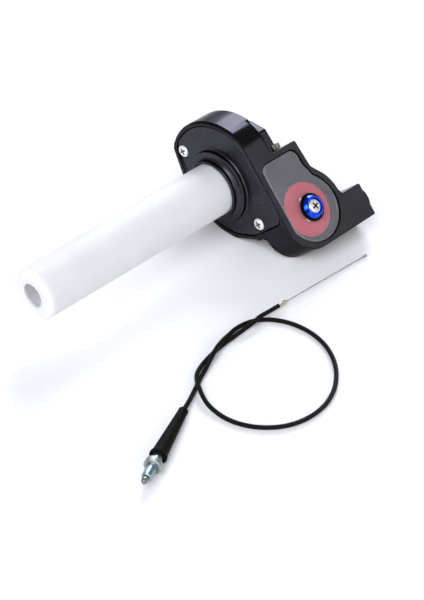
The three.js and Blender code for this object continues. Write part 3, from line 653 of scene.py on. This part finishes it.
BOOT_START = (-109, -83, 2.6)
BOOT_END = (-139.2, -96.9, 4.15)


def on_floor(point):
    return Vector((point[0], point[1], point[2] + FLOOR_Z))


def along_line(start, direction):
    """The place of a piece that was made along +x from the origin."""
    turn = Vector((1, 0, 0)).rotation_difference(direction)
    return Matrix.Translation(start) @ turn.to_matrix().to_4x4()


WIRE_START = on_floor(SHEATH_ROUTE[-1])
WIRE_LENGTH = (on_floor(WIRE_END) - WIRE_START).length
WIRE_DIRECTION = (on_floor(WIRE_END) - WIRE_START).normalized()
BOOT_DIRECTION = (on_floor(BOOT_END) - on_floor(BOOT_START)).normalized()
BOOT_PLACE = along_line(on_floor(BOOT_START), BOOT_DIRECTION)
WIRE_PLACE = along_line(WIRE_START, WIRE_DIRECTION)


def wire_point(distance):
    return WIRE_START + WIRE_DIRECTION * distance


def smooth_path(points, steps):
    """A centripetal Catmull-Rom curve through points."""
    ends = [2 * points[0] - points[1], *points, 2 * points[-1] - points[-2]]
    path = []
    for p0, p1, p2, p3 in zip(ends, ends[1:], ends[2:], ends[3:]):
        d0, d1, d2 = [math.sqrt((b - a).length) for a, b in ((p0, p1), (p1, p2), (p2, p3))]
        leave = ((p1 - p0) / d0 - (p2 - p0) / (d0 + d1) + (p2 - p1) / d1) * d1
        enter = ((p2 - p1) / d1 - (p3 - p1) / (d1 + d2) + (p3 - p2) / d2) * d1
        for k in range(steps):
            t = k / steps
            a = 2 * t**3 - 3 * t**2 + 1
            b = t**3 - 2 * t**2 + t
            path.append(p1 * a + leave * b + p2 * (1 - a) + enter * (t**3 - t**2))
    return [*path, points[-1]]


def tube_along(path, radius_at, sides, pitch_mm):
    """A tube round a path with closed ends. Its UV map runs in turns of that pitch along the tube."""
    points, faces, turns = [], [], []
    side = Vector((0, 0, 1))
    travelled = 0.0
    for i, here in enumerate(path):
        ahead = path[min(i + 1, len(path) - 1)]
        behind = path[max(i - 1, 0)]
        forward = (ahead - behind).normalized()
        side = (side - forward * side.dot(forward)).normalized()
        across = forward.cross(side)
        if i:
            travelled += (here - path[i - 1]).length
        for k in range(sides):
            angle = 2 * math.pi * k / sides
            reach = radius_at(angle, travelled)
            points.append(here + (side * math.cos(angle) + across * math.sin(angle)) * reach)
        turns.append(travelled / pitch_mm)
    for i in range(len(path) - 1):
        for k in range(sides):
            n = (k + 1) % sides
            faces.append((i * sides + k, i * sides + n, (i + 1) * sides + n, (i + 1) * sides + k))
    last = (len(path) - 1) * sides
    faces += [tuple(range(sides)), tuple(range(last, last + sides))]
    made = object_from("tube", points, faces)
    uv = made.data.uv_layers.new(name="turns")
    for loop in made.data.loops:
        ring, k = divmod(loop.vertex_index, sides)
        uv.data[loop.index].uv = (turns[ring] + k / sides, k / sides)
    return made


IN_ROW = Matrix.Identity(4)


def make_sheath():
    """The sheath. Its end runs straight along the wire and is bored, so that the wire can slide in."""
    route = [on_floor(p) for p in SHEATH_ROUTE] + [wire_point(d) for d in (5, 10, SHEATH_END_AT)]
    path = smooth_path(route, 10)
    sheath = tube_along(path, lambda angle, travelled: SHEATH_R, 20, SHEATH_RIB_PITCH)
    wire_bore = rod_x(WIRE_BORE_R, SHEATH_END_AT - SHEATH_BORE_LENGTH, SHEATH_END_AT + 2, sides=24)
    wire_bore.data.transform(WIRE_PLACE)
    cut(sheath, wire_bore)
    piece(sheath, "sheath", "cable_sheath", "housing", SHEATHING, IN_ROW)
    return sheath, path


def make_ferrule():
    """The nickel fitting on the sheath's end, slit from its waist to its tip."""
    start = SHEATH_END_AT + 0.15
    end = start + FERRULE_LENGTH
    ferrule = lathe([
        (start, WIRE_BORE_R), (start, 1.09, 0.15), (start + 1.7, 1.09, 0.12), (start + 1.9, 0.88),
        (start + 2.5, 0.88), (start + 2.6, 1, 0.05), (start + 3, 1, 0.05), (start + 3.1, 0.88),
        (start + 3.6, 0.88), (start + 3.7, 1, 0.05), (end - 0.4, 0.99, 0.1), (end, 0.75, 0.1),
        (end, WIRE_BORE_R),
    ], 48)
    slit = box(start + 2.2, end + 1, -0.12, 0.12, 0, 2)
    cut(ferrule, slit)
    return piece(ferrule, "ferrule", "sheath_ferrule", "housing", NICKEL, WIRE_PLACE)


def make_wire():
    """The bare wire: six strands round a core, so its section has six lobes and twists along it."""
    first = SHEATH_END_AT + 0.5
    last = WIRE_LENGTH - 1.1
    steps = math.ceil(WIRE_LENGTH / WIRE_STEP)
    path = [wire_point(first + WIRE_STEP * i) for i in range(steps)]
    path = [p for p in path if (p - WIRE_START).length < last]

    def strand(angle, travelled):
        return WIRE_R * (0.9 + 0.1 * math.cos(6 * (angle + 2 * math.pi * travelled / WIRE_LAY)))

    wire = tube_along(path, strand, 24, WIRE_LAY)
    piece(wire, "wire", "inner_wire", "carburettor_end", WIRE_STEEL, IN_ROW, 60)
    return wire, path


def make_nipple():
    tip = WIRE_LENGTH - 0.9
    nipple = lathe([
        (tip, 0), (tip, 0.45, 0.1), (tip + 0.3, 0.69, 0.12), (tip + 1.7, 0.69, 0.12),
        (tip + 2, 0.45, 0.1), (tip + 2, 0),
    ], 40)
    return piece(nipple, "nipple", "wire_nipple", "carburettor_end", WIRE_STEEL, WIRE_PLACE)


def make_boot():
    """A tapered rubber boot with a collar at the sheath, faint rings and a rolled lip."""
    length = BOOT_LENGTH
    first_ring = 1.4
    body = []
    for i in range(BOOT_RINGS * 2 + 1):
        at = first_ring + (0.9 * length - first_ring) * i / (BOOT_RINGS * 2)
        taper = 2.12 + 1.4 * at / (0.92 * length)
        body.append((at, taper - (0.03 if i % 2 else 0.0)))
    profile = [
        (0, BOOT_SHEATH_HOLE_R), (0, 2.05, 0.2), (0.4, 2.25, 0.1), (0.9, 2.25, 0.1), (1.2, 2.14), *body,
        (0.93 * length, 3.5, 0.4), (length - 1.4, 3.98, 0.5), (length - 0.6, 4.09, 0.4),
        (length, 3.8, 0.3), (length, BOOT_BORE_R, 0.2), (0.66 * length, BOOT_BORE_R),
        (0.66 * length, BOOT_SHEATH_HOLE_R),
    ]
    boot = lathe(profile, 64)
    return piece(boot, "boot", "cable_boot", "housing", RUBBER, BOOT_PLACE, 50)


def threaded(low, high, outer, depth, pitch):
    """The points of a screw thread, taken as rings."""
    turns = int((high - low) / pitch)
    points = []
    for i in range(turns):
        at = low + i * pitch
        points += [
            (at, outer - depth), (at + pitch * 0.3, outer),
            (at + pitch * 0.6, outer), (at + pitch * 0.9, outer - depth),
        ]
    return points


def make_adjuster():
    end = ADJUSTER_END
    adjuster = lathe([
        (ADJUSTER_START, ADJUSTER_BORE_R), (ADJUSTER_START, 2.35), (36.6, 2.35), (36.7, 2.45, 0.04),
        *threaded(36.9, 40.2, 2.49, 0.2, 0.55), (40.3, 2.3), (40.6, 2.48, 0.1), (46.2, 2.16),
        (46.35, 2.24, 0.06), (47.0, 2.24, 0.15), (end, 1.88, 0.1), (end, 1.25, 0.08), (46.8, 1.2),
        (46.8, ADJUSTER_BORE_R),
    ], 64)
    return piece(adjuster, "adjuster", "cable_adjuster", "housing", ZINC, BOOT_PLACE, 35)


def knurl(made, beyond, depth, ribs):
    """Raises a ring of small ribs on a lathed rim, where it is farther out than a radius."""
    for vertex in made.data.vertices:
        radial = Vector((0, vertex.co.y, vertex.co.z))
        if radial.length > beyond:
            rise = depth * math.cos(ribs * math.atan2(vertex.co.z, vertex.co.y))
            vertex.co += radial.normalized() * rise


def make_locknut():
    low, high = LOCKNUT_SPAN
    nut = lathe([
        (low, LOCKNUT_BORE_R), (low, 3.5, 0.1), (low + 0.45, 3.95, 0.15), (high - 0.45, 3.95, 0.15),
        (high, 3.5, 0.1), (high, LOCKNUT_BORE_R),
    ], 144)
    knurl(nut, beyond=3.8, depth=0.045, ribs=36)
    return piece(nut, "locknut", "adjuster_locknut", "locknut", PALE_ZINC, BOOT_PLACE, 50)


def make_ball():
    ball = lathe([
        (47.6, 0), (47.6, 1.15, 0.1), (47.9, 1.48, 0.15), (49.5, 1.49, 0.5), (50.4, 1.1, 0.5), (50.95, 0),
    ], 56)
    stem = rod_x(0.4, 32, 47.8, sides=20)
    join(ball, stem)
    return piece(ball, "ball", "ball_end", "pull_end", DULL_STEEL, BOOT_PLACE)


sheath, sheath_path = make_sheath()
ferrule = make_ferrule()
wire, wire_path = make_wire()
nipple = make_nipple()
boot = make_boot()
adjuster = make_adjuster()
nut = make_locknut()
ball = make_ball()


# ---- Twist tube ----------------------------------------------------------------------------------
def make_tube():
    tube = lathe([
        (TUBE_FREE_X, TUBE_HOLE_R, 0.5), (TUBE_FREE_X, TUBE_R_FREE, 1.7),
        (TUBE_FREE_X + 6, TUBE_R_FREE + 0.02), (0, TUBE_R_ROOT),
        (TUBE_INNER_X, TUBE_R_ROOT, 0.3), (TUBE_INNER_X, TUBE_BORE_R),
        (TUBE_FREE_X + 2.5, TUBE_BORE_R, 1.0), (TUBE_FREE_X + 2.5, TUBE_HOLE_R, 0.4),
    ], 128)
    piece(tube, "tube", "throttle_tube", "twist_tube", NYLON, LEANING, 35)


make_tube()


# ---- Housing -------------------------------------------------------------------------------------
def blend_corner(circle_r, flat_z):
    """The corner through which a circle about the axis runs along its tangent into a flat front."""
    angle = math.radians(DRUM_BLEND_DEG)
    leave_z = circle_r * math.sin(angle)
    return (circle_r * math.cos(angle) - (flat_z - leave_z) * math.tan(angle), flat_z, DRUM_BLEND_R)


DRUM_CORNERS = [
    (DRUM_LOW_Y, FACE_Z), (DRUM_LOW_Y, 9, 20), (-26.4, -8.96, 12), (-19.4, -15.96, 14), (-10, -21.2, 12),
    (9, -22.8, 20), (26, -18.2, 5), *arc(0, 0, DRUM_R, -25, DRUM_BLEND_DEG, 39),
    blend_corner(DRUM_R, FACE_Z),
]


def cover_corners(clearance):
    """The cover follows the drum inside its rim, with a straight side under the window face."""
    inset = COVER_RIM - clearance
    flat_z = COVER_FLAT_Z + clearance
    low = COVER_LOW_Y - clearance
    shrunk = shrink(DRUM_CORNERS, inset)[2:-2]
    return [
        (low, flat_z, COVER_CORNER_R), (low, 5, COVER_LOW_BEND_R), *shrunk,
        blend_corner(DRUM_R - inset, flat_z),
    ]


def window_outline(margin):
    """Round about the pulley, and square-shouldered above; shrunk by a margin."""
    top = WINDOW_TOP_Y - margin
    right = WINDOW_RIGHT_X - margin
    corner = 4 - margin / 2
    return rounded([
        (WINDOW_LEFT_X + margin, top, corner),
        *arc(PULLEY_X, PULLEY_Y, WINDOW_R - margin, 201 + margin, 410, 60),
        (right, -9.6, 3), (right, top, corner),
    ])


def drum_blank():
    """The drum, with a chamfer round the upper part of its front edge."""
    chamfer = 1.0
    body = prism(rounded(DRUM_CORNERS), 0, DRUM_DEPTH, "x")
    outside = box(-OVERSHOOT, chamfer, -70, 70, -70, 70)
    inside = lathe([
        (-2 * OVERSHOOT, 0), (-2 * OVERSHOOT, DRUM_R - chamfer - 2 * OVERSHOOT),
        (2 * chamfer, DRUM_R + chamfer), (2 * chamfer, 0),
    ], 180)
    upper = box(-OVERSHOOT, chamfer, -10, 70, -70, FACE_Z - 1)
    cut(outside, inside)
    combine(outside, [upper], "INTERSECT")
    return cut(body, outside, back_step())


def back_step():
    """A shallow step round the back edge, beside the window plate."""
    kept = prism(rounded(shrink(DRUM_CORNERS, 1.4)), 12, 17, "x")
    return cut(box(13, 16, 2.8, 70, 25.3, 70), kept)


def window_plate():
    """The plate that holds the window and runs on as the arm."""
    return prism(rounded([
        (0, 1.8), (0, ARM_BOTTOM_Y, ARM_CORNER_R), (ARM_END_X, ARM_BOTTOM_Y, 0.8),
        (ARM_END_X, ARM_TOP_Y, 0.8), (40.6, ARM_TOP_Y, 1.6),
        *arc(PULLEY_X, PULLEY_Y, 20, 2, 44, 24), (31, -12.6, 1.5), (30, 1.8, 0.8),
    ]), ARM_BACK_Z, FACE_Z, "z")


def arm_fillet():
    """The cast fillet between the drum and the back of the arm."""
    return prism(rounded([
        (-31, 13), (-38, 13), (-38, ARM_BACK_Z), (FILLET_Y, ARM_BACK_Z, FILLET_R), (-32.2, 7), (-31, 7),
    ]), FILLET_X, DRUM_DEPTH, "x")


def outlet_boss():
    return lathe([
        (40, 0), (40, BOSS_R), (BOSS_TIP_X, BOSS_R, 0.7), (BOSS_TIP_X, 0),
    ], 96, Matrix.Translation((0, BOSS_Y, BOSS_Z)))


def clamp_saddle():
    """The upper half of the bar clamp, behind the drum."""
    return prism(rounded([
        (-20, 0.4), (20, 0.4), (20, 6.5, 2), (13, 13.5, 2), (2, 14, 1), (-20, 14),
    ]), DRUM_DEPTH - 1, CLAMP_X1, "x")


def housing_cutters():
    """What is cut from the casting: cover seat, spool room, bar bore, window, outlet and screw holes."""
    port_end = BOSS_TIP_X + OVERSHOOT
    return [
        prism(rounded(cover_corners(GAP)), -OVERSHOOT, COVER_INSET + COVER_THICK + GAP, "x"),
        rod_x(SPOOL_ROOM_R, *SPOOL_ROOM_X, sides=96),
        rod_x(BAR_R, 0, CLAMP_X1 + OVERSHOOT, sides=96),
        prism(window_outline(-GAP), FACE_Z - WINDOW_SEAT_DEPTH, FACE_Z + OVERSHOOT, "z"),
        prism(window_outline(WINDOW_LEDGE), ROOM_FLOOR_Z, FACE_Z, "z"),
        rod_x(OUTLET_R, PULLEY_X, port_end, OUTLET_Y, CABLE_Z),
        rod_x(OUTLET_MOUTH_R, ARM_END_X - OUTLET_MOUTH_LENGTH, port_end, OUTLET_Y, CABLE_Z),
        rod_z(SHANK_R + GAP, 5, FACE_Z, PULLEY_X, PULLEY_Y),
        rod_z(NUT_ROOM_R, ARM_BACK_Z - NUT_ROOM_DEPTH, ARM_BACK_Z + 0.01, PULLEY_X, PULLEY_Y),
        *[rod_x(CASTING_SCREW_HOLE_R, 1, 10, y, z, 32) for y, z in COVER_SCREWS.values()],
        *[
            rod_z(CLAMP_BOLT_HOLE_R, -OVERSHOOT, CLAMP_BOLT_HOLE_Z, CLAMP_BOLT_X, y)
            for y in (CLAMP_BOLT_Y, -CLAMP_BOLT_Y)
        ],
    ]


def make_housing():
    body = join(drum_blank(), window_plate(), arm_fillet(), outlet_boss(), clamp_saddle())
    cut(body, *housing_cutters())
    post = rod_z(POST_R, ROOM_FLOOR_Z - 1, PULLEY_Z0 - GAP, PULLEY_X, PULLEY_Y)
    cut(post, rod_z(SHANK_R + GAP, 5, FACE_Z, PULLEY_X, PULLEY_Y))
    join(body, post)
    ground = box(-20, 80, -80, 80, FLOOR_Z - 20, FLOOR_Z)
    ground.data.transform(LEANING.inverted())
    cut(body, ground)
    soften(body, 0.45)
    piece(body, "housing_casting", "main_housing", "housing", BLACK, LEANING, None)


def cover_collar():
    """The collar that flares from the tube down to a foot on the cover's face."""
    face = COVER_INSET
    tip = -COLLAR_PROUD
    flare_start = tip + 1.6
    flare_end = COLLAR_FOOT_X - 0.3
    flare = []
    for i in range(13):
        angle = math.pi / 2 * i / 12
        reach = COLLAR_TIP_R - 0.15 + (COLLAR_BASE_R - COLLAR_TIP_R) * (1 - math.cos(angle))
        flare.append((flare_start + (flare_end - flare_start) * math.sin(angle), reach))
    return lathe([
        (face + 0.5, COLLAR_BORE_R), (tip, COLLAR_BORE_R, 0.2), (tip, COLLAR_TIP_R, 0.4),
        (tip + 1.4, COLLAR_TIP_R, 0.15), (tip + 1.5, COLLAR_TIP_R - 0.15), *flare,
        (COLLAR_FOOT_X, COLLAR_FOOT_R, 0.15), (face - 0.7, COLLAR_FOOT_R + 0.05),
        (face - 0.25, COLLAR_FOOT_R + 0.2), (face + 0.02, COLLAR_FOOT_R + 0.6),
        (face + 0.5, COLLAR_FOOT_R + 0.6),
    ], 128)


def make_cover():
    face = COVER_INSET
    seat = face + COVER_SCREW_SEAT
    plate = prism(rounded(cover_corners(0)), face, face + COVER_THICK, "x")
    seats = [rod_x(COVER_SCREW_R + GAP, -OVERSHOOT, seat, y, z) for y, z in COVER_SCREWS.values()]
    holes = [rod_x(COVER_SCREW_HOLE_R, -OVERSHOOT, 5, y, z, 32) for y, z in COVER_SCREWS.values()]
    bore = rod_x(COLLAR_BORE_R, -12, 12, sides=96)
    cut(plate, bore, *seats, *holes)
    join(plate, cover_collar())
    soften(plate, 0.35, 3)
    piece(plate, "cover", "front_cover", "housing", COVER_BLACK_PAINTED_LIGHTER, LEANING, None)


make_housing()
make_cover()


# ---- Screws, pulley and window -------------------------------------------------------------------
# The recess's reach, as a share of the head's radius.
RECESS_REACH = 0.62


def cross_recess(reach, floor, top):
    """A Phillips recess along +x: two crossed, tapering wings."""
    def wing(turn):
        thick = reach * 0.24
        points = []
        for x, u, t in ((top, reach, thick), (floor, reach * 0.4, thick * 0.6)):
            points += [(x, -u, -t), (x, u, -t), (x, u, t), (x, -u, t)]
        faces = [(0, 1, 2, 3), (4, 5, 6, 7), (0, 1, 5, 4), (1, 2, 6, 5), (2, 3, 7, 6), (3, 0, 4, 7)]
        made = object_from("wing", points, faces)
        made.data.transform(Matrix.Rotation(turn, 4, "X"))
        return made
    return [wing(0), wing(math.pi / 2)]


def pan_head(head_r, head_h, shank_r, shank_length):
    """A cross-recess screw along +x: head from 0 up, shank below."""
    screw = lathe([
        (-shank_length, 0), (-shank_length, shank_r - 0.3), (-shank_length + 0.4, shank_r),
        (0, shank_r), (0, head_r, 0.15), (head_h * 0.45, head_r, 0.35), (head_h * 0.82, head_r * 0.84, 1.2),
        (head_h, head_r * 0.45, 2), (head_h, 0),
    ], 64)
    reach = head_r * RECESS_REACH
    cut(screw, *cross_recess(reach, -head_h * 0.6, head_h + 0.1))
    # Faces inside the cross recess get the darker metal: painted shade.
    screw.data.materials.clear()
    for look in (STEEL, RECESS_PAINTED_SHADE):
        screw.data.materials.append(look)
    for face in screw.data.polygons:
        x, y, z = face.center
        in_cross = min(abs(y), abs(z)) < reach * 0.235 and math.hypot(y, z) < reach
        face.material_index = int(in_cross and -head_h < x < head_h * 0.93)
    return screw


def make_cover_screws():
    for side, (y, z) in COVER_SCREWS.items():
        screw = pan_head(COVER_SCREW_R, COVER_SCREW_HEAD_H, COVER_SCREW_SHANK_R, COVER_SCREW_LENGTH)
        seat = Matrix.Translation((COVER_INSET + COVER_SCREW_SEAT - GAP, y, z))
        turn = seat @ Matrix.Rotation(math.pi, 4, "Z")
        name = f"cover_screw_{side}"
        piece(screw, f"{name}_head", name, "housing", STEEL, LEANING @ turn, 35)


def make_pulley():
    pulley = lathe([
        (PULLEY_Z0, PULLEY_BORE_R), (PULLEY_Z0, PULLEY_R, 0.2), (PULLEY_Z0 + 2, PULLEY_R, 0.2),
        (CABLE_Z - 1, 11.4, 0.6), (CABLE_Z + 1, 11.4, 0.6), (CABLE_Z + 2.9, PULLEY_R, 0.3),
        (PULLEY_Z1, PULLEY_R, 0.4), (PULLEY_Z1, PULLEY_BORE_R),
    ], 128)
    pulley.data.materials.append(RED)
    pulley.data.materials.append(RED_PAINTED_SHADE)
    # All faces but the top one get the darker red: painted shade.
    for face in pulley.data.polygons:
        face.material_index = int(face.center.x < PULLEY_Z1 - 0.3)
    piece(pulley, "pulley", "guide_pulley", "pulley", RED, LEANING @ STACK, 30)


def make_cup_washer():
    cup = lathe([
        (30.8, SHANK_R + GAP), (30.8, 5.9, 0.2), (31.75, 5.9, 0.08), (33.0, 4.85, 0.12), (33.2, 4.55, 0.1),
        (33.2, 4.0, 0.12), (31.8, 3.85, 0.2), (31.8, SHANK_R + GAP),
    ], 128)
    piece(cup, "blue_cup", "cup_washer", "housing", BLUE, LEANING @ STACK, 20)


def make_seal():
    """The black seal that shows round the foot of the blue cup."""
    low, high = 30.25, 30.7
    seal = lathe([(low, WASHER_BORE_R), (low, 7, 0.15), (high, 7, 0.15), (high, WASHER_BORE_R)], 96)
    piece(seal, "cup_seal", "cup_washer_seal", "housing", RUBBER, LEANING @ STACK)


def make_lens_washer():
    """The washer on the window, with two lugs that show past the seal."""
    washer = rod_z(5.8, WASHER_Z0, WASHER_Z1, sides=72)
    lugs = []
    for degrees in (122, 218):
        outline = rounded([(3, -1.1), (7.6, -1.1, 0.9), (7.6, 1.1, 0.9), (3, 1.1)])
        lug = prism(outline, WASHER_Z0, WASHER_Z1, "z")
        lug.data.transform(Matrix.Rotation(math.radians(degrees), 4, "Z"))
        lugs.append(lug)
    join(washer, *lugs)
    cut(washer, rod_z(WASHER_BORE_R, 29, 31))
    turn = LEANING @ Matrix.Translation((PULLEY_X, PULLEY_Y, 0))
    piece(washer, "window_washer", "lens_washer", "housing", STEEL, turn, 30)


def make_pulley_screw():
    screw = pan_head(PULLEY_SCREW_R, PULLEY_SCREW_HEAD_H, SHANK_R, PULLEY_SCREW_LENGTH)
    seat = Matrix.Translation((PULLEY_X, PULLEY_Y, PULLEY_SCREW_SEAT_Z))
    turn = seat @ Matrix.Rotation(PULLEY_SCREW_TURN, 4, "Z") @ TO_Z
    piece(screw, "pulley_screw_head", "pulley_screw", "housing", STEEL, LEANING @ turn, 35)


def make_window():
    """The clear window, whose grey film is a painted reflection. Its slanted rim has a painted highlight of
    its own.
    """
    lens = prism(window_outline(0), LENS_TOP_Z - LENS_THICK, LENS_TOP_Z, "z")
    cut(lens, rod_z(SHANK_R + GAP, 25, 35, PULLEY_X, PULLEY_Y))
    soften(lens, 0.6, 1, 60)
    lens.data.materials.append(ACRYLIC_PAINTED_REFLECTION)
    lens.data.materials.append(ACRYLIC_EDGE_PAINTED_HIGHLIGHT)
    # The slanted rim and bevel get the lighter, more opaque acrylic: a painted highlight.
    for face in lens.data.polygons:
        face.material_index = int(face.normal.z < 0.99 and face.center.z > LENS_TOP_Z - 1)
    piece(lens, "window", "window_lens", "housing", ACRYLIC_PAINTED_REFLECTION, LEANING, None)


def make_ledge_screw():
    """A small socket-head screw with a knurled rim."""
    head_h = 2.6
    screw = lathe([
        (-1.8, 0), (-1.8, 1.2), (0, 1.2), (0, 2.2, 0.15), (head_h, 2.2, 0.25), (head_h, 0),
    ], 120)
    knurl(screw, beyond=2.1, depth=0.05, ribs=30)
    hexagon = [(1.1 * math.cos(math.pi / 3 * i), 1.1 * math.sin(math.pi / 3 * i)) for i in range(6)]
    cut(screw, prism(hexagon, head_h * 0.4, head_h + 1, "x"))
    turn = Matrix.Translation((24.5, 1.8 + GAP, 21.5)) @ Matrix.Rotation(math.pi / 2, 4, "Z")
    place = LEANING @ turn
    piece(screw, "ledge_screw_head", "ledge_screw", "housing", DULL_STEEL, place, 35)


make_cover_screws()
make_pulley()
make_cup_washer()
make_seal()
make_lens_washer()
make_pulley_screw()
make_window()
make_ledge_screw()


# ---- CAD nodes that are kept, with their materials -----------------------------------------------
KEPT = {
    "cable_spool": ACETAL,
    "outer_thrust_washer": ACETAL,
    "inner_thrust_washer": ACETAL,
    "window_gasket": RUBBER,
    "pulley_bush": NICKEL,
    "pulley_nut": STEEL,
    "bar_clamp": BLACK,
    "clamp_bolt_upper": STEEL,
    "clamp_bolt_lower": STEEL,
}
for node, look in KEPT.items():
    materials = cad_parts[node].data.materials
    materials.clear()
    materials.append(look)
